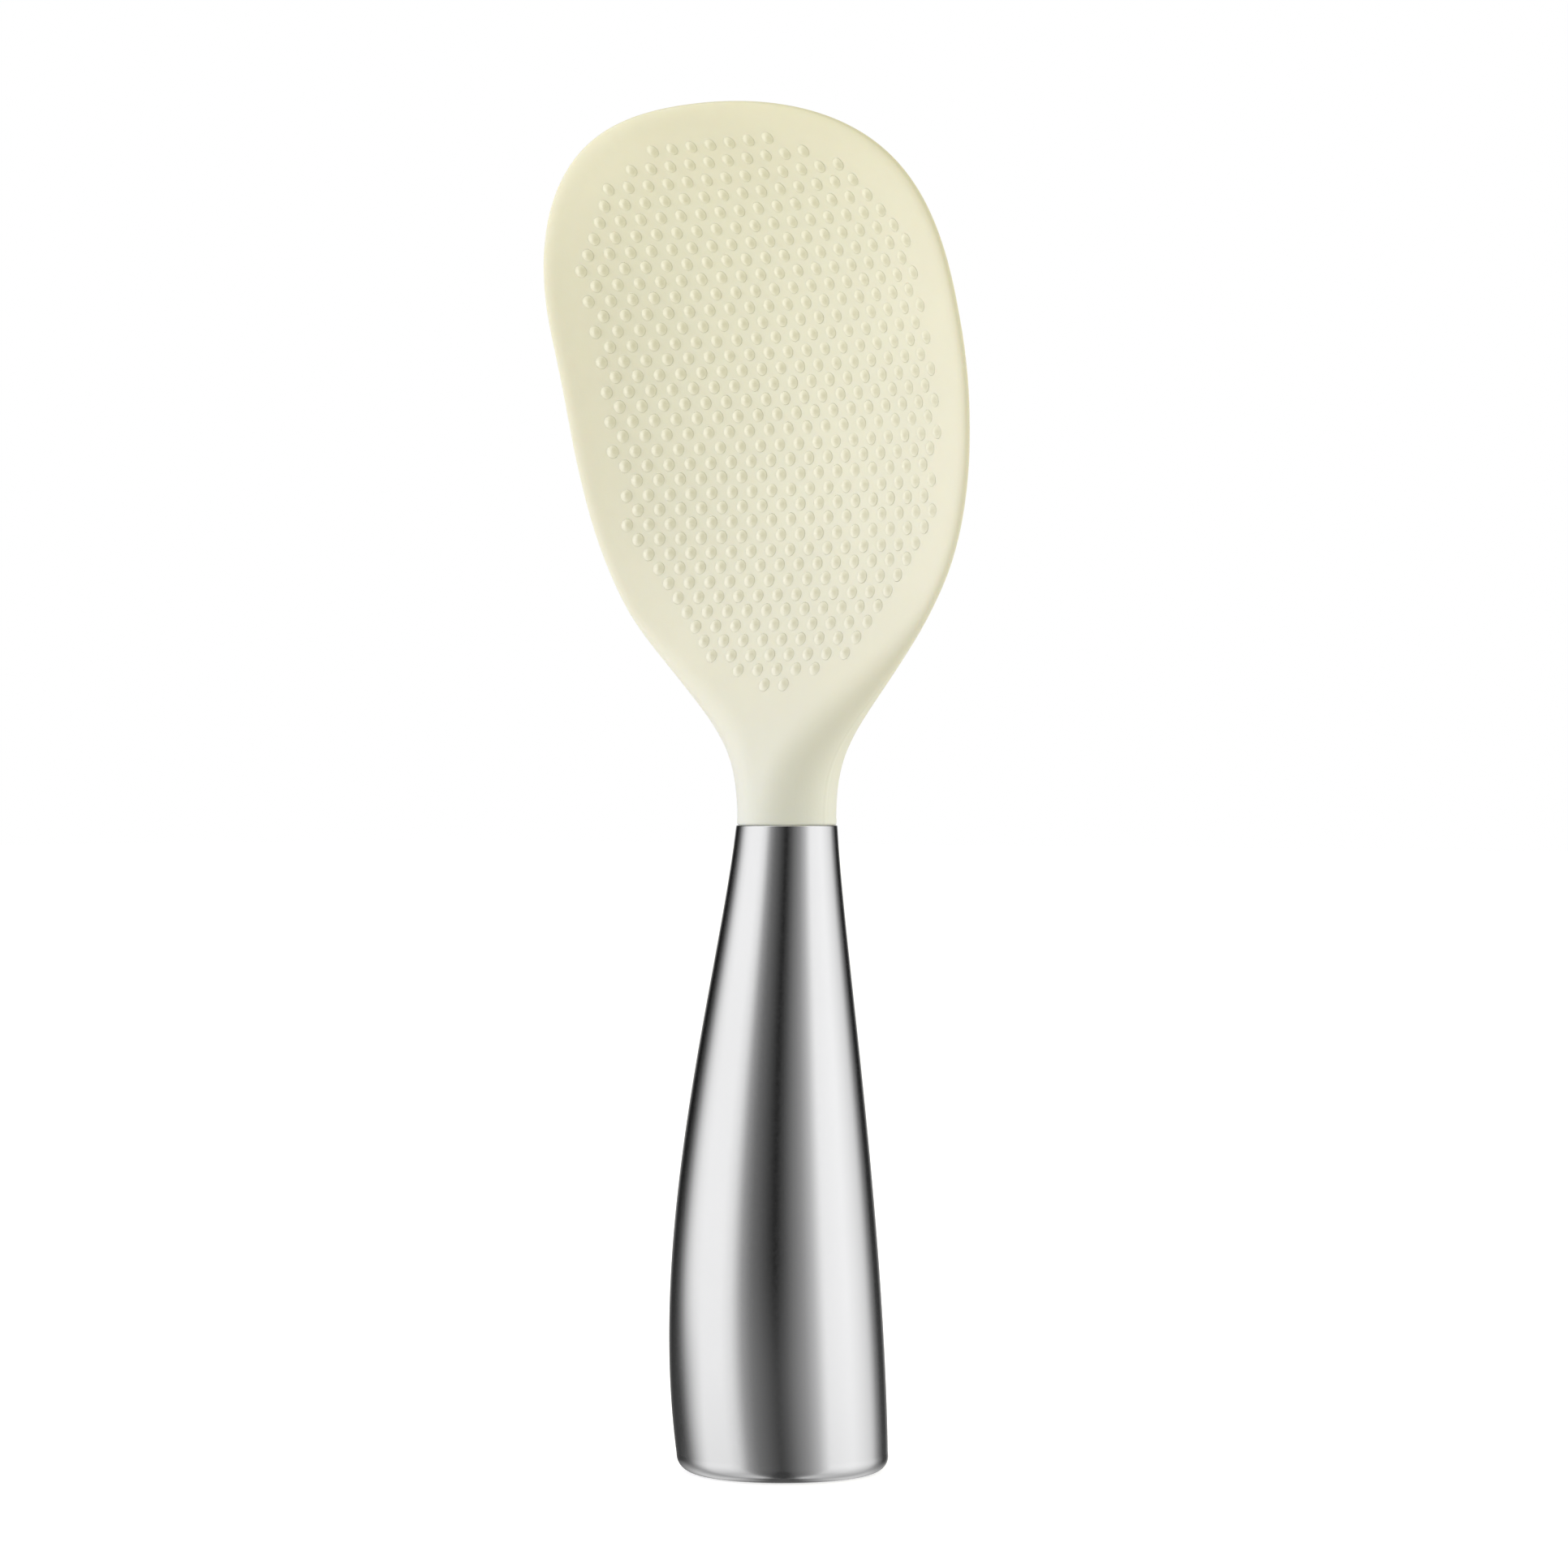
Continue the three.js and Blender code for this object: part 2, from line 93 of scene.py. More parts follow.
# Field of the raised dots, as (height from the mouth, half width)
DOT_FIELD = (
    (21.5 * MM, 0.0),
    (26.4 * MM, 14.3 * MM),
    (48.4 * MM, 32.5 * MM),
    (63.5 * MM, 35.0 * MM),
    (90.0 * MM, 35.0 * MM),
    (102.9 * MM, 24.3 * MM),
    (108.1 * MM, 11.4 * MM),
)

# Silicone bends light a little, and scatters it over this depth, red furthest
SILICONE_IOR = 1.41
SCATTER_DEPTH = 1.5 * MM
SCATTER_SHARES = (1.0, 0.75, 0.4)

# Noise stays mostly within the middle range, and clouds turn from dark to light between their stops
NOISE_MIDDLE = (0.3, 0.7)
CLOUD_STOPS = (0.35, 0.65)

# A mix node's sockets for its factor and its colours, which stand behind those for numbers
MIX_FACTOR = 0
MIX_FIRST = 6
MIX_SECOND = 7
MIX_RESULT = 2

# The round tent that the steel mirrors, above and below the floor alike
TENT_RADIUS = 0.7
TENT_TOP = 1.6
TENT_FOOT = -4.0
TENT_SIDES = 96
BLACK = (0, 0, 0, 1)

# Low down the tent is hazy, as (height, share of the pale tone)
TENT_HAZE = ((0.06, 0.0), (-0.1, 0.07))
TENT_PALE_TONE = 0.6

# Lower still it is pale behind the paddle, as (height, share) and (degrees from the front, share)
TENT_PALE = ((-0.12, 0.0), (-0.5, 1.0))
TENT_PALE_TURN = ((90, 0.0), (151, 1.0))

# A dark strip runs under the paddle to the back, as (height, share) and (half width over depth, share)
TENT_STRIP = ((-0.35, 0.0), (-0.5, 1.0))
TENT_STRIP_WIDTH = ((0.1, 0.9), (0.34, 0.0))

# All round, it grows dimmer with depth, as (height, share of black)
TENT_DIM = ((-0.1, 0.0), (-0.9, 0.45))

# A dark flag stands low at the left, as (height, share) and (degrees to the right, share)
TENT_FLAG = ((0.0, 0.0), (-0.11, 1.0))
TENT_FLAG_TURN = ((-132, 0.75), (-86, 0.0))

# Light on the tent, as (degrees to the right of the camera's place, level)
TENT_LEVELS = (
    (-180, 0.42),
    (-166, 0.34),
    (-154, 0.01),
    (-142, 0.01),
    (-131, 0.075),
    (-121, 0.32),
    (-110, 0.80),
    (-100, 1.08),
    (-88, 1.18),
    (-60, 1.18),
    (-48, 0.98),
    (-37, 0.40),
    (-26, 0.19),
    (-12, 0.09),
    (0, 0.012),
    (10, 0.09),
    (30, 0.34),
    (42, 0.62),
    (54, 1.14),
    (84, 1.22),
    (100, 1.06),
    (114, 0.86),
    (128, 0.25),
    (140, 0.02),
    (154, 0.01),
    (166, 0.34),
    (180, 0.42),
)

# The white floor, and the glow that the camera sees on it
FLOOR_HALF = 6.0
FLOOR_TONE = (0.8, 0.8, 0.8)
FLOOR_SEEN_GLOW = 0.58

# Both softboxes stand alike on either side, at these degrees to the right of the camera's place
LEFT_LAMP_TURN = -100
RIGHT_LAMP_TURN = 105
LAMP_SIZE = (0.5, 0.7)
LAMP_DISTANCE = 0.9
LAMP_HEIGHT = 0.2
LAMP_AIM = 0.13

# The camera's sensor in millimetres, and the nearest and furthest distance that it sees
SENSOR_WIDTH = 36
CLIP_START = 0.01
CLIP_END = 50


def millimetres(name, description, value):
    """A length property whose default is given in millimetres."""
    return FloatProperty(name=name, description=description, default=value * MM, unit="LENGTH", precision=5)


def share(name, description, value):
    """A property from 0 to 1."""
    return FloatProperty(name=name, description=description, default=value, min=0, max=1, subtype="FACTOR")


def colour(name, description, value):
    """A colour property, as light and not as screen values."""
    return FloatVectorProperty(
        name=name, description=description, default=value, min=0, max=1, size=3, subtype="COLOR"
    )


class PaddleHeadSizes(bpy.types.PropertyGroup):
    """Sizes of the silicone head, heights from the handle's mouth"""

    length: FloatProperty(
        name="Length", description="Mouth to tip", default=head_high.z - head_low.z, unit="LENGTH"
    )
    width: FloatProperty(
        name="Width", description="Across the widest place", default=head_high.x - head_low.x, unit="LENGTH"
    )
    setback: millimetres("Setback", "The neck's axis lies this far behind the foot's centre", 0.8)
    widest_height: millimetres("Widest height", "Height of the widest place", 80.4)
    neck_radius: millimetres("Neck radius", "Radius of the round neck", 7.9)
    neck_straight: millimetres("Neck straight", "Pull that keeps the neck's sides straight", 12.8)
    flare_height: millimetres("Flare height", "The outline is steepest here", 29.2)
    flare_half_width: millimetres("Flare half width", "Half width where the outline is steepest", 27.4)
    flare_angle: FloatProperty(
        name="Flare angle", description="Steepest angle from the axis", default=math.radians(43.6),
        subtype="ANGLE",
    )
    flare_pull: millimetres("Flare pull", "Curve handle below the flare", 19.7)
    shoulder_pull: millimetres("Shoulder pull", "Curve handle above the flare", 16.9)
    side_pull: millimetres("Side pull", "Curve handle below the widest place", 23.5)
    crown_side_pull: millimetres("Crown side pull", "Curve handle above the widest place", 24.8)
    crown_top_pull: millimetres("Crown top pull", "Curve handle beside the tip", 25.9)
    dish_height: millimetres("Dish height", "Height of the dish's deepest point", 52.9)
    dish_setback: millimetres("Dish setback", "The deepest point lies this far behind the neck's axis", 1.0)
    tip_rise: millimetres("Tip rise", "The tip stands this far forward of the deepest point", 24.9)
    dish_pull: millimetres("Dish pull", "Curve handle below the deepest point", 30.1)
    neck_front_pull: millimetres("Neck front pull", "Curve handle on the neck's front", 17.3)
    cross_radius: millimetres("Cross radius", "The dish's curve from side to side", 122.0)
    cross_full_height: millimetres("Cross full height", "The cross curve grows up to here", 63.0)
    cross_fade_height: millimetres("Cross fade height", "The cross curve fades from here", 77.6)
    ridge_run: millimetres("Ridge run", "The round neck runs out along the back over this length", 52.0)
    rim_thickness: millimetres("Rim thickness", "Thickness of the blade at its rim", 2.0)
    rim_round: millimetres("Rim round", "Width of the rim's rounding", 2.4)
    rim_run: millimetres("Rim run", "The neck becomes the thin rim over this length", 36.5)
    blade_thickness: millimetres("Blade thickness", "Thickness on the blade's middle line", 4.2)
    blade_skin: millimetres("Blade skin", "Silicone over the core in the blade", 1.1)
    neck_skin: millimetres("Neck skin", "Silicone over the core in the neck", 3.0)
    core_margin: millimetres("Core margin", "The core's edge to the rim", 12.0)
    core_gap: millimetres("Core gap", "Clearance round the core", 0.3)
    parting_ridge: millimetres("Parting ridge", "Height of the mould's parting line round the rim", 0.08)


class PaddleDotSizes(bpy.types.PropertyGroup):
    """Sizes of the raised dots on the face"""

    pitch: millimetres("Pitch", "Along a row; rows are staggered by half of it", 4.0)
    row_pitch: millimetres("Row pitch", "From row to row", 2.414)
    first_row: millimetres("First row", "Height of the lowest row above the mouth", 22.43)
    rows: IntProperty(name="Rows", description="Number of rows", default=36, min=1)
    radius: millimetres("Radius", "Radius where a dot runs out into the face", 1.2)
    height: millimetres("Height", "Height above the face", 0.52)
    root: millimetres("Root", "Depth to which a dot is sunk in the face", 0.015)


class PaddleHandleSizes(bpy.types.PropertyGroup):
    """Sizes of the steel handle, heights from the standing face"""

    wall: millimetres("Wall", "Thickness of the steel", 0.8)
    mouth_radius: millimetres("Mouth radius", "Radius at the mouth", 8.1)
    mouth_pull_radius: millimetres("Mouth pull radius", "Curve handle under the mouth", 9.9)
    mouth_pull_drop: millimetres("Mouth pull drop", "And how far below the mouth it lies", 22.0)
    belly_pull_radius: millimetres("Belly pull radius", "Curve handle that swells the lower half", 19.0)
    belly_pull_height: millimetres("Belly pull height", "And its height", 40.7)
    seam_radius: millimetres("Seam radius", "Where the handle meets its foot cap", 16.9)
    seam_height: millimetres("Seam height", "Height of that seam", 3.0)
    foot_corner: millimetres("Foot corner", "Corner radius between foot and wall", 2.5)
    lower_bow: millimetres("Lower bow", "Forward pull on the axis at a third of its height", 4.3)
    upper_bow: millimetres("Upper bow", "Forward pull on the axis at two thirds", 0.9)
    setback: millimetres("Setback", "The mouth's centre lies this far behind the foot's", 0.8)
    lip_round: millimetres("Lip round", "Rounding of the steel's edge at the mouth", 0.2)
    cap_lip: millimetres("Cap lip", "The cap's inner lip above the seam", 4.0)
    cap_gap: millimetres("Cap gap", "Clearance between that lip and the handle", 0.3)


class PaddleFinishes(bpy.types.PropertyGroup):
    """Colours and gloss of the paddle's materials"""

    # The cream's change with height is painted sheen and light, not a change in the silicone's own colour:
    # yellower at the tip, paler and bluer at the neck.
    silicone_tip: colour("Silicone tip", "Cream silicone at the tip", (0.825, 0.803, 0.583))
    silicone_face: colour("Silicone face", "Cream silicone at the face's foot", (0.818, 0.806, 0.656))
    neck_tone_painted_sheen: colour("Silicone neck", "Paler silicone at the thick neck", (0.778, 0.79, 0.705))
    # The face is set a little darker and the dots at full lightness: painted highlight on the dots.
    face_lightness: share("Face lightness", "Lightness of the thick silicone", 0.972)
    dot_lift_painted_highlight: share("Dot lightness", "Lightness of the thin dots", 1.0)
    face_foot: share("Face foot", "Height of the face's foot, as a share of the head", 0.2)
    silicone_roughness: share("Silicone roughness", "How matt the silicone is", 0.5)
    silicone_depth: share("Silicone depth", "How much light travels inside the silicone", 0.2)
    steel: colour("Steel", "Satin steel", (0.72, 0.72, 0.725))
    steel_roughness: share("Steel roughness", "How blurred the steel's reflections are", 0.16)
    nylon: colour("Nylon", "Stiff core inside the head", (0.69, 0.67, 0.60))
    nylon_roughness: share("Nylon roughness", "How matt the core is", 0.45)
    acetal: colour("Acetal", "Bush in the handle's mouth", (0.09, 0.097, 0.102))
    acetal_roughness: share("Acetal roughness", "How matt the bush is", 0.4)


class PaddleStageSettings(bpy.types.PropertyGroup):
    """The camera and the studio light"""

    camera_turn: FloatProperty(
        name="Camera turn", description="Camera's place round the paddle", default=math.radians(40.5),
        subtype="ANGLE",
    )
    camera_distance: millimetres("Camera distance", "From the neck's axis", 752.9)
    camera_height: millimetres("Camera height", "Above the floor", 109.6)
    camera_slide: millimetres("Camera slide", "Sideways, to the right", -0.454)
    lens: FloatProperty(name="Lens", description="Focal length on a 36 mm sensor", default=108.07)
    left_power: FloatProperty(name="Left lamp", description="Left softbox", default=5.5, unit="POWER")
    left_tint: colour("Left tint", "Cool light from the left", (0.79, 0.79, 1.0))
    right_power: FloatProperty(name="Right lamp", description="Right softbox", default=4.0, unit="POWER")
    right_tint: colour("Right tint", "Warm light from the right", (1.0, 0.975, 0.91))
    fill: share("Fill", "Level of the studio's even light", 0.75)
    fill_tint: colour("Fill tint", "Warm even light", (1.0, 0.975, 0.865))
    floor_glow: share("Floor glow", "Light that the white floor sends up", 0.16)


def cubic_curve(controls, steps):
    """Points along a cubic curve with four control points."""
    a, b, c, d = (np.array(point, float) for point in controls)
    t = np.linspace(0, 1, steps + 1)[:, None]
    s = 1 - t
    return s**3 * a + 3 * s * s * t * b + 3 * s * t * t * c + t**3 * d


def blend(start, end, t):
    """Value at a share t of the way from start to end."""
    return start + (end - start) * t


def fall(height, run):
    """1 at the mouth, falling smoothly to 0 at the end of the run."""
    t = np.clip(height / run, 0, 1)
    return 1 - t * t * (3 - 2 * t)


class HeadShape:
    """The head by rule: x to the side, forward towards the dished face, height from the mouth."""

    def __init__(self, sizes):
        self.sizes = sizes
        run = sizes.length - sizes.dish_height
        self.dish_radius = (run**2 + sizes.tip_rise**2) / (2 * sizes.tip_rise)
        self.neck_front = cubic_curve(
            (
                (0, sizes.neck_radius),
                (sizes.neck_front_pull, sizes.neck_radius),
                (sizes.dish_height - sizes.dish_pull, -sizes.dish_setback),
                (sizes.dish_height, -sizes.dish_setback),
            ),
            MIDDLE_LINE_STEPS,
        )
        self.turns = np.linspace(-math.pi / 2, math.pi / 2, 2 * QUARTER_STEPS + 1)

    def outline(self):
        """Right half of the outline as (half width, height), from the mouth round to the tip."""
        s = self.sizes
        turn = np.array((s.flare_half_width, s.flare_height))
        way = np.array((math.sin(s.flare_angle), math.cos(s.flare_angle)))
        side = s.width / 2
        neck = (s.neck_radius, 0)
        above_neck = (s.neck_radius, s.neck_straight)
        widest = (side, s.widest_height)
        flare = cubic_curve((neck, above_neck, turn - way * s.flare_pull, turn), FLARE_STEPS)
        shoulder = cubic_curve(
            (turn, turn + way * s.shoulder_pull, (side, s.widest_height - s.side_pull), widest),
            SHOULDER_STEPS,
        )
        crown = cubic_curve(
            (
                widest,
                (side, s.widest_height + s.crown_side_pull),
                (s.crown_top_pull, s.length),
                (0, s.length),
            ),
            CROWN_STEPS,
        )
        return np.concatenate((flare, shoulder[1:], crown[1:]))

    def face(self, x, height):
        """Forward place of the dished face."""
        s = self.sizes
        rise = np.clip(height - s.dish_height, 0, None)
        arc = self.dish_radius - np.sqrt(self.dish_radius**2 - rise**2) - s.dish_setback
        front = np.interp(height, self.neck_front[:, 0], self.neck_front[:, 1])
        middle = np.where(height >= s.dish_height, arc, front)
        below = np.clip((s.cross_full_height - height) / s.cross_full_height, 0, None)
        above = np.clip((height - s.cross_fade_height) / (s.length - s.cross_fade_height), 0, None)
        bend = (1 - below**CROSS_GROW_POWER) * (1 - above**CROSS_FADE_POWER)
        return middle + bend * x * x / (2 * s.cross_radius)

    def rib(self, edge):
        """Sizes of the rib from the middle line to one point of the outline."""
        s = self.sizes
        root = min(edge[1], s.widest_height)
        neck = fall(edge[1], s.rim_run)
        return {
            "edge": edge,
            "root": root,
            "neck": neck,
            "length": math.hypot(edge[0], edge[1] - root),
            "rim_half": blend(s.rim_thickness / 2, s.neck_radius, neck),
            "root_half": blend(s.blade_thickness / 2, s.neck_radius, fall(root, s.ridge_run)),
        }

    def along(self, rib, u):
        """x, height, half thickness and the middle surface's forward place at shares u of a rib."""
        x = rib["edge"][0] * u
        height = blend(rib["root"], rib["edge"][1], u)
        half = blend(rib["root_half"], rib["rim_half"], u * u)
        return x, height, half, self.face(x, height) - half

    def whole_ring(self, x, forward, height):
        """Half a section, from face to back, joined to its mirror image and set on the handle's mouth."""
        half = np.stack((x, self.sizes.setback - forward, MOUTH_HEIGHT + height), axis=1)
        half[0, 0] = half[-1, 0] = 0
        mirrored = half[-2:0:-1] * (-1, 1, 1)
        return np.concatenate((half, mirrored))

    def skin_ring(self, edge, swell=1.0):
        """Outside section of the silicone through one point of the outline."""
        rib = self.rib(edge)
        length = rib["length"]
        u = np.cos(self.turns)
        x, height, half, middle = self.along(rib, u)
        rounding = min(length, blend(self.sizes.rim_round, edge[0], rib["neck"]))
        in_round = np.clip(1 - (1 - u) * length / rounding, 0, 1)
        drop = rib["rim_half"] * (1 - np.sqrt(1 - in_round**2))
        stand = -np.sign(self.turns) * (half - drop)
        ridge = np.zeros(len(u))
        ridge[QUARTER_STEPS] = self.sizes.parting_ridge / length
        x = x * swell + edge[0] * ridge
        height = height + (edge[1] - rib["root"]) * ridge
        return self.whole_ring(x, middle + stand * swell, height)

    def core_ring(self, edge):
        """Section of the room for the core through one point of the outline."""
        s = self.sizes
        rib = self.rib(edge)
        reach = rib["length"] - blend(s.core_margin, s.neck_skin, rib["neck"]) + s.core_gap
        skin = blend(s.blade_skin, s.neck_skin, fall(rib["root"], s.rim_run))
        thick = rib["root_half"] - skin + s.core_gap
        u = np.cos(self.turns) * reach / rib["length"]
        x, height, _, middle = self.along(rib, u)
        return self.whole_ring(x, middle - np.sin(self.turns) * thick, height)


class HandleShape:
    """The handle by rule: profiles of (radius, height) turned about its bowed axis."""

    def __init__(self, sizes):
        self.sizes = sizes
        self.side = cubic_curve(
            (
                (sizes.seam_radius, sizes.seam_height),
                (sizes.belly_pull_radius, sizes.belly_pull_height),
                (sizes.mouth_pull_radius, MOUTH_HEIGHT - sizes.mouth_pull_drop),
                (sizes.mouth_radius, MOUTH_HEIGHT),
            ),
            TAPER_STEPS,
        )

    def bow(self, height):
        """How far forward of the foot's centre the axis lies."""
        t = height / MOUTH_HEIGHT
        s = 1 - t
        pulls = 3 * s * s * t * self.sizes.lower_bow + 3 * s * t * t * self.sizes.upper_bow
        return pulls - t**3 * self.sizes.setback

    def radius(self, height):
        """Outside radius at a height."""
        return np.interp(height, self.side[:, 1], self.side[:, 0])

    def rings(self, profile):
        """A ring of points for each point of a profile."""
        turns = np.linspace(0, 2 * math.pi, ROUND_STEPS, endpoint=False)
        circle = np.stack((np.cos(turns), np.sin(turns), np.zeros(ROUND_STEPS)), axis=1)
        return [circle * radius + (0, -self.bow(height), height) for radius, height in profile]


def quarter_round(centre, radius, start, end):
    """Points of a small arc in a profile, between two angles."""
    turns = np.linspace(start, end, CORNER_STEPS + 1)
    return [(centre[0] + radius * math.cos(t), centre[1] + radius * math.sin(t)) for t in turns]


def skinned_mesh(name, rings, wrap=False):
    """A closed mesh over rings with the same number of points. wrap joins the last ring to the first."""
    count = len(rings[0])
    steps = [(k, k + 1) for k in range(len(rings) - 1)]
    if wrap:
        steps.append((len(rings) - 1, 0))
    faces = []
    for low, high in steps:
        for k in range(count):
            after = (k + 1) % count
            faces.append((low * count + k, low * count + after, high * count + after, high * count + k))
    mesh = bpy.data.meshes.new(name)
    mesh.from_pydata(np.concatenate(rings).tolist(), [], faces)
    body = bmesh.new()
    body.from_mesh(mesh)
    bmesh.ops.remove_doubles(body, verts=body.verts, dist=MERGE_DISTANCE)
    bmesh.ops.recalc_face_normals(body, faces=body.faces)
    open_edges = sum(not edge.is_manifold for edge in body.edges)
    body.to_mesh(mesh)
    body.free()
    if open_edges:
        raise RuntimeError(f"{name} has {open_edges} open edges")
    mesh.shade_smooth()
    mesh.set_sharp_from_angle(angle=SHARP_ANGLE)
    return mesh


def add_object(name, data, material=None):
    """Links a new object at the origin, and replaces one of the same name."""
    old = bpy.data.objects.get(name)
    if old:
        bpy.data.objects.remove(old)
    made = bpy.data.objects.new(name, data)
    bpy.context.scene.collection.objects.link(made)
    if material:
        data.materials.append(material)
    return made


class Graph:
    """Adds nodes to a tree, with their settings and inputs."""

    def __init__(self, tree):
        self.tree = tree
        tree.nodes.clear()

    def add(self, kind, inputs=None, **settings):
        """A new node. An input is a value, or a socket to link."""
        node = self.tree.nodes.new(kind)
        for name, value in settings.items():
            setattr(node, name, value)
        for key, value in (inputs or {}).items():
            if isinstance(value, bpy.types.NodeSocket):
                self.tree.links.new(value, node.inputs[key])
            else:
                node.inputs[key].default_value = value
        return node

    def place(self):
        """The object's own coordinates."""
        return self.add("ShaderNodeTexCoord").outputs["Object"]

    def axes(self, vector):
        """A vector's X, Y and Z."""
        return self.add("ShaderNodeSeparateXYZ", {0: vector}).outputs

    def math(self, operation, *values, use_clamp=False):
        """One step of arithmetic on one to three numbers."""
        inputs = dict(enumerate(values))
        return self.add("ShaderNodeMath", inputs, operation=operation, use_clamp=use_clamp).outputs[0]

    def mix(self, factor, first, second, blend_type="MIX"):
        """Two colours mixed."""
        inputs = {MIX_FACTOR: factor, MIX_FIRST: first, MIX_SECOND: second}
        node = self.add("ShaderNodeMix", inputs, data_type="RGBA", blend_type=blend_type)
        return node.outputs[MIX_RESULT]

    def ramp(self, factor, stops):
        """A colour ramp from (position, level or colour) stops."""
        node = self.add("ShaderNodeValToRGB", {"Fac": factor})
        elements = node.color_ramp.elements
        while len(elements) < len(stops):
            elements.new(0.5)
        for element, (position, value) in zip(elements, stops):
            element.position = position
            element.color = (*value, 1) if hasattr(value, "__len__") else (value, value, value, 1)
        return node.outputs["Color"]

    def noise(self, scale, detail=2.0):
        """Noise on the object's own coordinates, with features about one over scale metres across."""
        inputs = {"Vector": self.place(), "Scale": scale, "Detail": detail}
        return self.add("ShaderNodeTexNoise", inputs).outputs["Fac"]

    def run(self, value, start, end):
        """A value mapped evenly between two (from, to) pairs, and held beyond them."""
        node = self.add("ShaderNodeMapRange", {
            "Value": value,
            "From Min": start[0],
            "From Max": end[0],
            "To Min": start[1],
            "To Max": end[1],
        })
        return node.outputs["Result"]

    def patch(self, first, first_run, second, second_run):
        """Two runs multiplied, so that a patch fades out both ways."""
        return self.math("MULTIPLY", self.run(first, *first_run), self.run(second, *second_run))


def new_material(name):
    """A fresh material and the graph of its nodes."""
    old = bpy.data.materials.get(name)
    if old:
        bpy.data.materials.remove(old)
    made = bpy.data.materials.new(name)
    made.use_nodes = True
    return made, Graph(made.node_tree)


def finished(graph, shader):
    """Ends a material's nodes with its shader."""
    graph.add("ShaderNodeOutputMaterial", {"Surface": shader.outputs[0]})


def shade(tone, factor):
    """A colour made lighter or darker."""
    return tuple(min(1, part * factor) for part in tone)


def mottled(graph, tone, scale, spread):
    """The colour with faint lighter and darker clouds."""
    stops = zip(CLOUD_STOPS, (shade(tone, 1 - spread), shade(tone, 1 + spread)))
    return graph.ramp(graph.noise(scale, detail=3), tuple(stops))


def speckled(graph, rough, scale, spread, detail=2.0):
    """A roughness that varies finely, by the spread to either side."""
    low, high = NOISE_MIDDLE
    return graph.run(graph.noise(scale, detail), (low, rough - spread), (high, rough + spread))


def run_of_colour(graph, low, high, stops):
    """Colours that run into each other from the low height to the high one."""
    height = graph.axes(graph.place())["Z"]
    return graph.ramp(graph.run(height, (low, 0), (high, 1)), stops)


def fine_bump(graph, scale, depth):
    """Small relief of the given depth."""
    inputs = {"Height": graph.noise(scale), "Distance": depth, "Strength": 1.0}
    return graph.add("ShaderNodeBump", inputs).outputs["Normal"]


def silicone_material(name, finishes, depth, lightness):
    """Cream silicone: soft sheen, a little depth, and the mould's fine texture."""
    made, graph = new_material(name)
    # Cream by height from neck to tip: painted sheen, paler and bluer low down at the neck.
    cream = run_of_colour(graph, MOUTH_HEIGHT, head_high.z, (
        (0, tuple(finishes.neck_tone_painted_sheen)),
        (finishes.face_foot, tuple(finishes.silicone_face)),
        (1, tuple(finishes.silicone_tip)),
    ))
    # The lightness is higher for the dots than for the face: painted highlight on the dots.
    clouds = mottled(graph, (lightness,) * 3, scale=55, spread=0.012)
    finished(graph, graph.add("ShaderNodeBsdfPrincipled", {
        "Base Color": graph.mix(1.0, cream, clouds, "MULTIPLY"),
        "Roughness": speckled(graph, finishes.silicone_roughness, scale=900, spread=0.04),
        "IOR": SILICONE_IOR,
        "Subsurface Weight": depth,
        "Subsurface Radius": SCATTER_SHARES,
        "Subsurface Scale": SCATTER_DEPTH,
        "Normal": fine_bump(graph, scale=2600, depth=0.012 * MM),
    }))
    return made


def steel_material(finishes):
    """Satin steel: polished smooth, with a fine speckle in its gloss."""
    made, graph = new_material("satin steel")
    finished(graph, graph.add("ShaderNodeBsdfPrincipled", {
        "Base Color": mottled(graph, tuple(finishes.steel), scale=40, spread=0.01),
        "Metallic": 1.0,
        "Roughness": speckled(graph, finishes.steel_roughness, scale=1800, spread=0.03, detail=3),
        "Normal": fine_bump(graph, scale=2200, depth=0.0015 * MM),
    }))
    return made


def plastic_material(name, tone, rough):
    """Moulded plastic with a faint grain."""
    made, graph = new_material(name)
    finished(graph, graph.add("ShaderNodeBsdfPrincipled", {
        "Base Color": mottled(graph, tone, scale=90, spread=0.03),
        "Roughness": speckled(graph, rough, scale=700, spread=0.05),
        "Normal": fine_bump(graph, scale=1500, depth=0.02 * MM),
    }))
    return made


def white_rays(graph):
    """1 for rays that see the white studio: the camera's own, and mirrored or refracted ones."""
    path = graph.add("ShaderNodeLightPath").outputs
    seen = graph.math("ADD", path["Is Camera Ray"], path["Is Glossy Ray"])
    return graph.math("ADD", seen, path["Is Transmission Ray"], use_clamp=True)


class PADDLE_OT_head(bpy.types.Operator):
    """Lofts the dished silicone head round the room for its core"""

    bl_idname = "rice_paddle.head"
    bl_label = "Silicone head"

    def execute(self, context):
        shape = HeadShape(context.scene.paddle_head)
        outline = shape.outline()
        neck_radius = shape.sizes.neck_radius
        room = [shape.core_ring(edge) for edge in outline[::-CAVITY_STRIDE]]
        if (len(outline) - 1) % CAVITY_STRIDE:
            room.append(shape.core_ring(outline[0]))
        skin = [shape.skin_ring(np.array((neck_radius, height)), swell) for height, swell in NECK_LIP]
        skin += [shape.skin_ring(edge) for edge in outline if edge[1] > NECK_LIP[-1][0]]
        looks = context.scene.paddle_finishes
        cream = silicone_material("cream silicone", looks, looks.silicone_depth, looks.face_lightness)
        head = add_object("paddle_head", skinned_mesh("paddle_head", room + skin), cream)
        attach(head, "root")
        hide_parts("silicone_head")
        return {"FINISHED"}


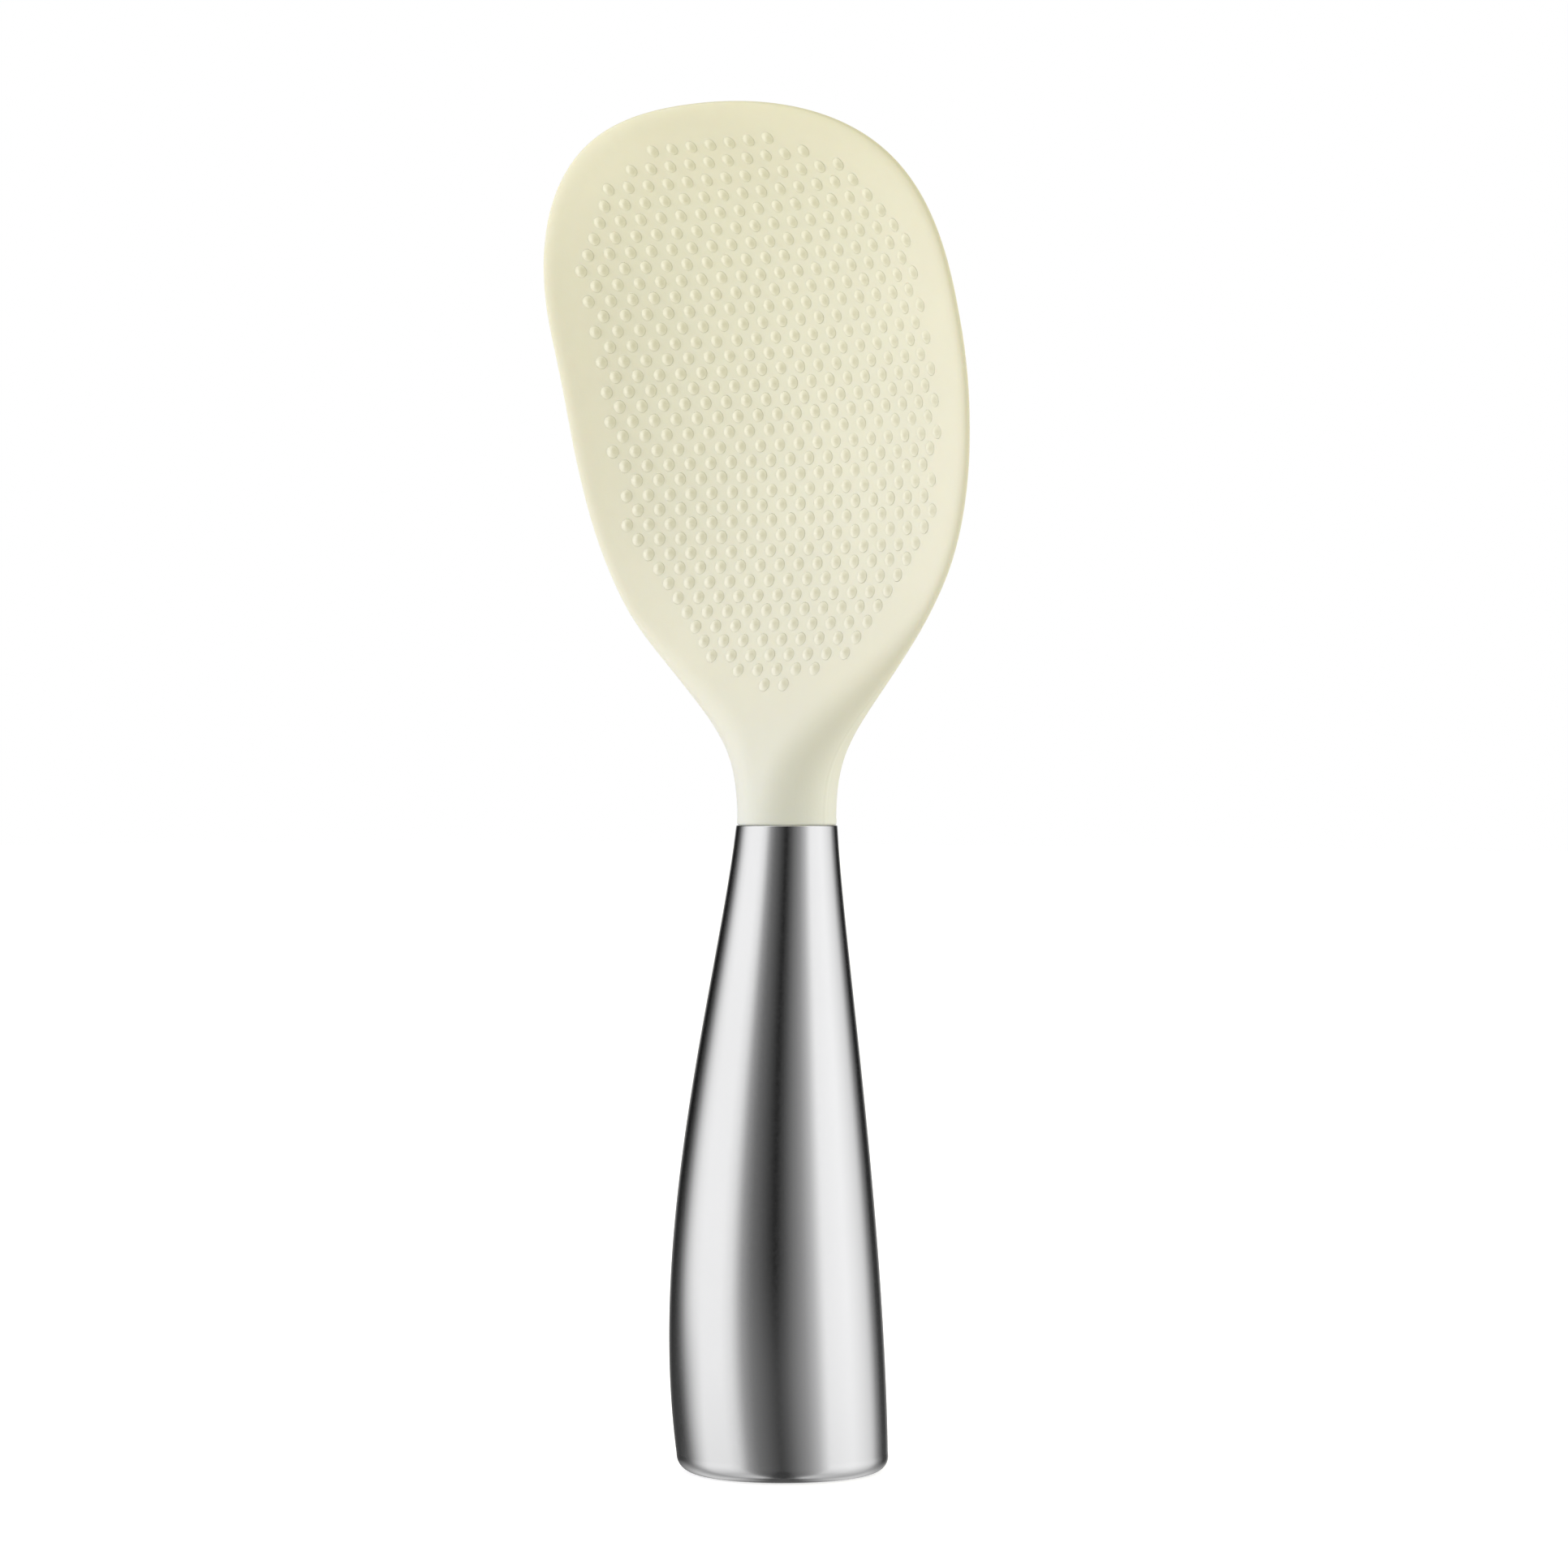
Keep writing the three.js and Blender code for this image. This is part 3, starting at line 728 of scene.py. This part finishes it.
def dot_tree():
    """Nodes that set staggered rows of low domes on the head's face."""
    tree = bpy.data.node_groups.new("raised dots", "GeometryNodeTree")
    graph = Graph(tree)
    for name, kind in (
        ("Head", "NodeSocketObject"),
        ("Pitch", "NodeSocketFloat"),
        ("Row Pitch", "NodeSocketFloat"),
        ("First Row", "NodeSocketFloat"),
        ("Rows", "NodeSocketInt"),
        ("Columns", "NodeSocketInt"),
        ("Mouth Height", "NodeSocketFloat"),
        ("Radius", "NodeSocketFloat"),
        ("Height", "NodeSocketFloat"),
        ("Root", "NodeSocketFloat"),
        ("Material", "NodeSocketMaterial"),
    ):
        tree.interface.new_socket(name, in_out="INPUT", socket_type=kind)
    tree.interface.new_socket("Geometry", in_out="OUTPUT", socket_type="NodeSocketGeometry")
    given = graph.add("NodeGroupInput").outputs

    # Staggered rows of seats
    index = graph.add("GeometryNodeInputIndex").outputs[0]
    row = graph.math("FLOOR", graph.math("DIVIDE", index, given["Columns"]))
    column = graph.math("SUBTRACT", index, graph.math("MULTIPLY", row, given["Columns"]))
    middle = graph.math("FLOOR", graph.math("DIVIDE", given["Columns"], 2.0))
    stagger = graph.math("MULTIPLY", graph.math("MODULO", graph.math("ADD", row, 1.0), 2.0), 0.5)
    from_middle = graph.math("ADD", graph.math("SUBTRACT", column, middle), stagger)
    side = graph.math("MULTIPLY", from_middle, given["Pitch"])
    height = graph.math("MULTIPLY_ADD", row, given["Row Pitch"], given["First Row"])
    above_floor = graph.math("ADD", height, given["Mouth Height"])
    seat = graph.add("ShaderNodeCombineXYZ", {"X": side, "Y": DOT_PLANE_Y, "Z": above_floor}).outputs[0]
    count = graph.math("MULTIPLY", given["Rows"], given["Columns"])
    points = graph.add("GeometryNodePoints", {"Count": count, "Position": seat}).outputs[0]

    # Only the seats inside the field stay
    place = graph.axes(graph.add("GeometryNodeInputPosition").outputs[0])
    low, high = DOT_FIELD[0][0], DOT_FIELD[-1][0]
    widest = max(half for _, half in DOT_FIELD)
    above_mouth = graph.math("SUBTRACT", place["Z"], given["Mouth Height"])
    up_field = graph.run(above_mouth, (low, 0), (high, 1))
    border = graph.add("ShaderNodeFloatCurve", {"Value": up_field})
    curve = border.mapping.curves[0]
    stops = [((field_height - low) / (high - low), half / widest) for field_height, half in DOT_FIELD]
    for stop in stops[1:-1]:
        curve.points.new(*stop)
    curve.points[-1].location = stops[-1]
    for point in curve.points:
        point.handle_type = "VECTOR"
    border.mapping.update()
    limit = graph.math("MULTIPLY", border.outputs[0], widest)
    outside = graph.math("GREATER_THAN", graph.math("ABSOLUTE", place["X"]), limit)
    kept = graph.add("GeometryNodeDeleteGeometry", {"Geometry": points, "Selection": outside}).outputs[0]

    # One dome: a cone whose rings are lifted to a cosine's profile, full on the axis and flat at the edge
    cone = graph.add("GeometryNodeMeshCone", {
        "Vertices": DOME_SIDES,
        "Side Segments": DOME_RINGS,
        "Radius Top": 0.0,
        "Radius Bottom": given["Radius"],
        "Depth": given["Height"],
    }).outputs
    at = graph.axes(graph.add("GeometryNodeInputPosition").outputs[0])
    squares = [graph.math("MULTIPLY", at[axis], at[axis]) for axis in "XY"]
    out = graph.math("DIVIDE", graph.math("SQRT", graph.math("ADD", *squares)), given["Radius"])
    wave = graph.math("COSINE", graph.math("MULTIPLY", out, math.pi))
    swell = graph.math("MULTIPLY_ADD", wave, 0.5, 0.5)
    full = graph.math("ADD", given["Height"], given["Root"])
    lift = graph.math("SUBTRACT", graph.math("MULTIPLY", swell, full), given["Root"])
    lifted = graph.add("ShaderNodeCombineXYZ", {"X": at["X"], "Y": at["Y"], "Z": lift}).outputs[0]
    dome = graph.add("GeometryNodeSetPosition", {"Geometry": cone["Mesh"], "Position": lifted}).outputs[0]
    dome = graph.add("GeometryNodeSetShadeSmooth", {0: dome, "Shade Smooth": False}).outputs[0]
    dome = graph.add("GeometryNodeSetShadeSmooth", {0: dome, "Selection": cone["Side"]}).outputs[0]

    # Domes are turned to the face and pushed back on to it
    head = graph.add("GeometryNodeObjectInfo", {"Object": given["Head"]}).outputs["Geometry"]
    ray = graph.add("GeometryNodeRaycast", {
        "Target Geometry": head,
        "Ray Direction": BACKWARDS,
        "Ray Length": DOT_PUSH_LIMIT,
    }).outputs
    turn = graph.add("FunctionNodeAlignRotationToVector", {"Vector": ray["Hit Normal"]}, axis="Z")
    dots = graph.add("GeometryNodeInstanceOnPoints", {
        "Points": kept,
        "Instance": dome,
        "Rotation": turn.outputs[0],
    }).outputs[0]
    push = graph.add("ShaderNodeCombineXYZ", {"Y": ray["Hit Distance"]}).outputs[0]
    dots = graph.add("GeometryNodeTranslateInstances", {
        0: dots,
        "Translation": push,
        "Local Space": False,
    }).outputs[0]
    dots = graph.add("GeometryNodeRealizeInstances", {0: dots}).outputs[0]
    dots = graph.add("GeometryNodeSetMaterial", {"Geometry": dots, "Material": given["Material"]})
    graph.add("NodeGroupOutput", {"Geometry": dots.outputs[0]})
    return tree


class PADDLE_OT_dots(bpy.types.Operator):
    """Sets the raised dots on the head's face"""

    bl_idname = "rice_paddle.dots"
    bl_label = "Raised dots"

    def execute(self, context):
        sizes = context.scene.paddle_dots
        finishes = context.scene.paddle_finishes
        head = bpy.data.objects["paddle_head"]
        dots = add_object("raised_dots", bpy.data.meshes.new("raised_dots"))
        tree = dot_tree()
        modifier = dots.modifiers.new("raised dots", "NODES")
        modifier.node_group = tree
        given = {
            "Head": head,
            "Pitch": sizes.pitch,
            "Row Pitch": sizes.row_pitch,
            "First Row": sizes.first_row,
            "Rows": sizes.rows,
            "Columns": 1 + 2 * math.ceil(context.scene.paddle_head.width / 2 / sizes.pitch),
            "Mouth Height": MOUTH_HEIGHT,
            "Radius": sizes.radius,
            "Height": sizes.height,
            "Root": sizes.root,
            # Full lightness for the dots: painted highlight.
            "Material": silicone_material("cream silicone dots", finishes, 0.0, finishes.dot_lift_painted_highlight),
        }
        for socket in tree.interface.items_tree:
            if socket.in_out == "INPUT":
                modifier[socket.identifier] = given[socket.name]
        graph = context.evaluated_depsgraph_get()
        mesh = bpy.data.meshes.new_from_object(dots.evaluated_get(graph), depsgraph=graph)
        dots.modifiers.remove(modifier)
        dots.data = mesh
        mesh.name = dots.name
        if not mesh.polygons:
            raise RuntimeError("no dots reached the face")
        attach(dots, "root")
        return {"FINISHED"}


class PADDLE_OT_handle(bpy.types.Operator):
    """Turns the hollow steel handle and its foot cap about the bowed axis"""

    bl_idname = "rice_paddle.handle"
    bl_label = "Steel handle"

    def execute(self, context):
        shape = HandleShape(context.scene.paddle_handle)
        steel = steel_material(context.scene.paddle_finishes)
        shell = add_object("handle_shell", self.shell_mesh(shape), steel)
        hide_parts("handle_half_left", "handle_half_right")
        cap = add_object("foot_cap_fine", self.cap_mesh(shape), steel)
        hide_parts("foot_cap")
        for piece in (shell, cap):
            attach(piece, "root")
        return {"FINISHED"}

    def shell_mesh(self, shape):
        """One smooth wall from the seam to the rounded edge at the mouth, and down again inside."""
        s = shape.sizes
        edge = s.lip_round
        outside = [tuple(point) for point in shape.side if point[1] < MOUTH_HEIGHT - edge]
        lip = quarter_round((s.mouth_radius - edge, MOUTH_HEIGHT - edge), edge, 0, math.pi / 2)
        inside = [(radius - s.wall, height) for radius, height in outside[::-1]]
        top = (s.mouth_radius - s.wall, MOUTH_HEIGHT)
        return skinned_mesh("handle_shell", shape.rings([*outside, *lip, top, *inside]), wrap=True)

    def cap_mesh(self, shape):
        """Flat foot, rounded corner, and a lip that stands inside the handle."""
        s = shape.sizes
        corner_centre = (s.seam_radius - s.foot_corner, s.foot_corner)
        lip_top = s.seam_height + s.cap_lip

        def lip(height):
            return shape.radius(height) - s.wall - s.cap_gap

        profile = [
            (0, 0),
            *quarter_round(corner_centre, s.foot_corner, -math.pi / 2, 0),
            (s.seam_radius, s.seam_height),
            (lip(s.seam_height), s.seam_height),
            (lip(lip_top), lip_top),
            (lip(lip_top) - s.wall, lip_top),
            (lip(s.seam_height) - s.wall, s.foot_corner),
            (s.seam_radius - s.foot_corner, s.wall),
            (0, s.wall),
        ]
        return skinned_mesh("foot_cap_fine", shape.rings(profile))


class PADDLE_OT_inside(bpy.types.Operator):
    """Gives the hidden core and bush their plastics"""

    bl_idname = "rice_paddle.inside"
    bl_label = "Core and bush"

    def execute(self, context):
        finishes = context.scene.paddle_finishes
        plastics = {
            "blade_core": ("nylon core", finishes.nylon, finishes.nylon_roughness),
            "mouth_bush": ("acetal bush", finishes.acetal, finishes.acetal_roughness),
        }
        for name, (plastic, tone, rough) in plastics.items():
            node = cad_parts[name]
            node.data.materials.clear()
            node.data.materials.append(plastic_material(plastic, tuple(tone), rough))
        return {"FINISHED"}


class PADDLE_OT_stage(bpy.types.Operator):
    """Sets the floor, the lamps, the tent that the steel mirrors, and the camera"""

    bl_idname = "rice_paddle.stage"
    bl_label = "Stage"

    def execute(self, context):
        settings = context.scene.paddle_stage
        self.turn = settings.camera_turn
        self.set_world(settings)
        self.set_floor(settings)
        self.set_tent()
        self.set_lamp("left softbox", LEFT_LAMP_TURN, settings.left_power, settings.left_tint)
        self.set_lamp("right softbox", RIGHT_LAMP_TURN, settings.right_power, settings.right_tint)
        self.set_camera(settings)
        context.scene.view_settings.view_transform = "Standard"
        return {"FINISHED"}

    def around(self, degrees, distance, height):
        """A point at an angle to the right of the camera's place, seen from the paddle."""
        turn = self.turn + math.radians(degrees)
        return Vector((math.sin(turn) * distance, -math.cos(turn) * distance, height))

    def set_world(self, settings):
        """White for the camera and for mirrors, and a warm even fill for all else."""
        world = bpy.data.worlds.new("white studio")
        world.use_nodes = True
        graph = Graph(world.node_tree)
        even = shade(settings.fill_tint, settings.fill)
        tone = graph.ramp(white_rays(graph), ((0, even), (1, 1.0)))
        sky = graph.add("ShaderNodeBackground", {"Color": tone, "Strength": 1.0})
        graph.add("ShaderNodeOutputWorld", {"Surface": sky.outputs[0]})
        bpy.context.scene.world = world

    def set_floor(self, settings):
        """White paper that glows, more so as the camera sees it, and that the steel doesn't mirror."""
        material, graph = new_material("white floor")
        paper = graph.add("ShaderNodeBsdfDiffuse", {"Color": (*FLOOR_TONE, 1)})
        level = graph.run(white_rays(graph), (0, settings.floor_glow), (1, FLOOR_SEEN_GLOW))
        glow = graph.add("ShaderNodeEmission", {"Strength": level})
        finished(graph, graph.add("ShaderNodeAddShader", {0: paper.outputs[0], 1: glow.outputs[0]}))
        mesh = bpy.data.meshes.new("floor")
        corners = [(FLOOR_HALF * x, FLOOR_HALF * y, 0) for x, y in ((-1, -1), (1, -1), (1, 1), (-1, 1))]
        mesh.from_pydata(corners, [], [(0, 1, 2, 3)])
        floor = add_object("floor", mesh, material)
        floor.visible_glossy = False

    def tent_material(self):
        """Light on the tent: bright at both sides, dark ahead, and grey between two dark edges behind."""
        material, graph = new_material("tent wall")
        to_camera = (0, 0, math.pi / 2 - self.turn)
        turned = graph.add("ShaderNodeMapping", {"Vector": graph.place(), "Rotation": to_camera}).outputs[0]
        round_wall = graph.add("ShaderNodeTexGradient", {"Vector": turned}, gradient_type="RADIAL")
        turn = round_wall.outputs["Fac"]
        brightest = max(level for _, level in TENT_LEVELS)
        stops = [(degrees / 360 + 0.5, level / brightest) for degrees, level in TENT_LEVELS]
        axes = graph.axes(turned)
        height = axes["Z"]
        sideways = graph.math("ABSOLUTE", graph.math("DIVIDE", axes["Y"], height))
        degrees = graph.run(turn, (0, -180), (1, 180))
        off_front = graph.math("ABSOLUTE", degrees)
        behind = graph.patch(height, TENT_PALE, off_front, TENT_PALE_TURN)
        strip = graph.patch(height, TENT_STRIP, sideways, TENT_STRIP_WIDTH)
        flag = graph.patch(height, TENT_FLAG, degrees, TENT_FLAG_TURN)
        pale_behind = graph.math("SUBTRACT", behind, strip)
        paleness = graph.math("MAXIMUM", graph.run(height, *TENT_HAZE), pale_behind)
        dark = graph.math("MAXIMUM", graph.math("MAXIMUM", strip, flag), graph.run(height, *TENT_DIM))
        wall = graph.mix(dark, graph.ramp(turn, stops), BLACK)
        tone = graph.mix(paleness, wall, (*[TENT_PALE_TONE] * 3, 1))
        finished(graph, graph.add("ShaderNodeEmission", {"Color": tone, "Strength": brightest}))
        return material

    def set_tent(self):
        """A round wall, closed below, that only reflections see."""
        turns = np.linspace(0, 2 * math.pi, TENT_SIDES, endpoint=False)
        circle = [(TENT_RADIUS * math.cos(t), TENT_RADIUS * math.sin(t)) for t in turns]
        points = [(*point, height) for height in (TENT_FOOT, TENT_TOP) for point in circle]
        faces = [tuple(range(TENT_SIDES))]
        for k in range(TENT_SIDES):
            after = (k + 1) % TENT_SIDES
            faces.append((k, after, after + TENT_SIDES, k + TENT_SIDES))
        mesh = bpy.data.meshes.new("tent")
        mesh.from_pydata(points, [], faces)
        tent = add_object("tent", mesh, self.tent_material())
        tent.visible_camera = False
        tent.visible_diffuse = False
        tent.visible_transmission = False
        tent.visible_volume_scatter = False
        tent.visible_shadow = False

    def set_lamp(self, name, degrees, power, tint):
        """A softbox turned to the paddle. The tent stands in for it in the steel."""
        light = bpy.data.lights.new(name, "AREA")
        light.shape = "RECTANGLE"
        light.size, light.size_y = LAMP_SIZE
        light.energy = power
        light.color = tint
        lamp = add_object(name, light)
        lamp.location = self.around(degrees, LAMP_DISTANCE, LAMP_HEIGHT)
        aim = Vector((0, 0, LAMP_AIM)) - lamp.location
        lamp.rotation_euler = aim.to_track_quat("-Z", "Y").to_euler()
        lamp.visible_camera = False
        lamp.visible_glossy = False

    def set_camera(self, settings):
        """A level camera turned about the neck's axis."""
        camera = bpy.data.cameras.new("camera")
        camera.lens = settings.lens
        camera.sensor_width = SENSOR_WIDTH
        camera.clip_start = CLIP_START
        camera.clip_end = CLIP_END
        made = add_object("camera", camera)
        side = Vector((math.cos(self.turn), math.sin(self.turn), 0)) * settings.camera_slide
        axis = Vector((0, bpy.context.scene.paddle_head.setback, 0))
        made.location = self.around(0, settings.camera_distance, settings.camera_height) + side + axis
        made.rotation_euler = (math.pi / 2, 0, self.turn)
        bpy.context.scene.camera = made


class PADDLE_PT_sidebar(bpy.types.Panel):
    """The paddle's sizes, finishes and pieces"""

    bl_idname = "PADDLE_PT_sidebar"
    bl_label = "Rice Paddle"
    bl_space_type = "VIEW_3D"
    bl_region_type = "UI"
    bl_category = "Rice Paddle"

    def draw(self, context):
        for operator in OPERATORS:
            self.layout.operator(operator.bl_idname)
        for group in GROUPS:
            box = self.layout.box()
            box.label(text=group.__doc__)
            for name in group.__annotations__:
                box.prop(getattr(context.scene, GROUPS[group]), name)


GROUPS = {
    PaddleHeadSizes: "paddle_head",
    PaddleDotSizes: "paddle_dots",
    PaddleHandleSizes: "paddle_handle",
    PaddleFinishes: "paddle_finishes",
    PaddleStageSettings: "paddle_stage",
}
OPERATORS = (PADDLE_OT_head, PADDLE_OT_dots, PADDLE_OT_handle, PADDLE_OT_inside, PADDLE_OT_stage)


def register():
    for cls in (*GROUPS, *OPERATORS, PADDLE_PT_sidebar):
        bpy.utils.register_class(cls)
    for group, name in GROUPS.items():
        setattr(bpy.types.Scene, name, PointerProperty(type=group))


def unregister():
    for name in GROUPS.values():
        delattr(bpy.types.Scene, name)
    for cls in (PADDLE_PT_sidebar, *reversed(OPERATORS), *reversed(GROUPS)):
        bpy.utils.unregister_class(cls)


def main():
    register()
    bpy.ops.rice_paddle.head()
    bpy.ops.rice_paddle.dots()
    bpy.ops.rice_paddle.handle()
    bpy.ops.rice_paddle.inside()
    bpy.ops.rice_paddle.stage()


if __name__ == "__main__":
    main()
